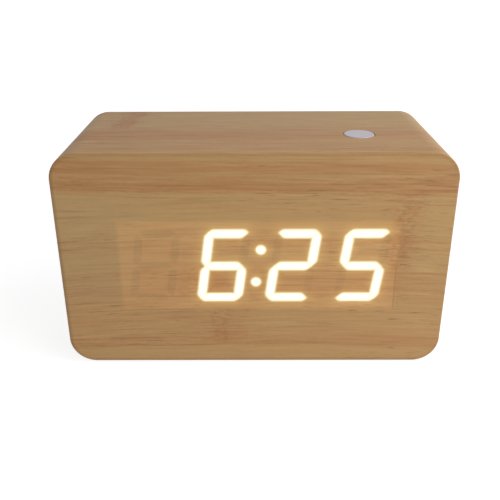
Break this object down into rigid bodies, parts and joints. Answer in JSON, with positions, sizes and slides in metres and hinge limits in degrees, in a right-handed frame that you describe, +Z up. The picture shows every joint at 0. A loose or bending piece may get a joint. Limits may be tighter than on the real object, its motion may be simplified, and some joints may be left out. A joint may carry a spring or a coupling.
{
  "type": "digital clock",
  "caption": "Wood-look block clock with rounded corners; lit segment digits shine through the front, a button lies in the top, and the rear has keys, a power inlet and a battery door.",
  "frame": {"origin": "middle of the underside of the foot pads' bounding box", "axes": "+X to the right seen from the front, +Y from the front to the rear, +Z up"},
  "size_m": [0.102, 0.045, 0.0606],
  "materials": {
    "wood_film": "printed horizontal grain, satin",
    "fibreboard": "raw pressed fibreboard",
    "pad_rubber": "matte",
    "reflector_plastic": "satin",
    "lit_filling": "glowing milky resin",
    "unlit_filling": "milky resin",
    "led_resin": "clear yellow resin",
    "board_laminate": "green solder mask",
    "plated_steel": "bright plated",
    "black_resin": "matte moulded resin",
    "capacitor_sleeve": "dark shrink sleeve over a can",
    "ceramic": "matte",
    "switch_plastic": "matte",
    "button_plastic": "satin pale grey",
    "cover_plastic": "fine spark texture",
    "key_plastic": "satin",
    "cell_sleeve": "plain printed sleeve",
    "cable_plastic": "satin",
    "red_insulation": "satin",
    "black_insulation": "satin"
  },
  "bodies": {
    "clock": {"case_body": "fibreboard", "side_film": "wood_film", "front_sheet": "wood_film", "foot_pads": "pad_rubber", "display_housing": "reflector_plastic", "lit_bars": "lit_filling", "unlit_bars": "unlit_filling", "led_chips": "led_resin", "display_board": "board_laminate", "display_pins": "plated_steel", "main_board": "board_laminate", "board_screws": "plated_steel", "clock_chip": "black_resin", "chip_legs": "plated_steel", "crystal": "plated_steel", "capacitor": "capacitor_sleeve", "driver_transistors": "black_resin", "resistors": "ceramic", "top_switch": "switch_plastic", "rear_cover": "cover_plastic", "cover_screws": "plated_steel", "key_board": "board_laminate", "key_board_screws": "plated_steel", "key_switches": "switch_plastic", "buzzer": "black_resin", "usb_socket": "plated_steel", "usb_tongue": "black_resin", "key_cable": "cable_plastic", "cells": "cell_sleeve", "contact_plates": "plated_steel", "contact_springs": "plated_steel", "positive_lead": "red_insulation", "negative_lead": "black_insulation"},
    "top_button": {"top_button": "button_plastic", "top_plunger": "switch_plastic"},
    "set_key": {"set_key": "key_plastic", "set_plunger": "switch_plastic"},
    "up_key": {"up_key": "key_plastic", "up_plunger": "switch_plastic"},
    "down_key": {"down_key": "key_plastic", "down_plunger": "switch_plastic"},
    "battery_door": {"battery_door": "cover_plastic"}
  },
  "joints": [
    {"name": "top_button_press", "type": "slide", "parent": "clock", "child": "top_button", "axis": [0, 0, -1], "range_m": [0, 0.0006], "stiffness_N_per_m": 800, "springref_m": -0.001},
    {"name": "set_key_press", "type": "slide", "parent": "clock", "child": "set_key", "axis": [0, -1, 0], "range_m": [0, 0.0005], "stiffness_N_per_m": 800, "springref_m": -0.001},
    {"name": "up_key_press", "type": "slide", "parent": "clock", "child": "up_key", "axis": [0, -1, 0], "range_m": [0, 0.0005], "stiffness_N_per_m": 800, "springref_m": -0.001},
    {"name": "down_key_press", "type": "slide", "parent": "clock", "child": "down_key", "axis": [0, -1, 0], "range_m": [0, 0.0005], "stiffness_N_per_m": 800, "springref_m": -0.001},
    {"name": "battery_door_hinge", "type": "hinge", "parent": "clock", "child": "battery_door", "pos_m": [-0.01285, 0.0207, 0.01265], "axis": [-1, 0, 0], "range_deg": [0, 85]}
  ]
}
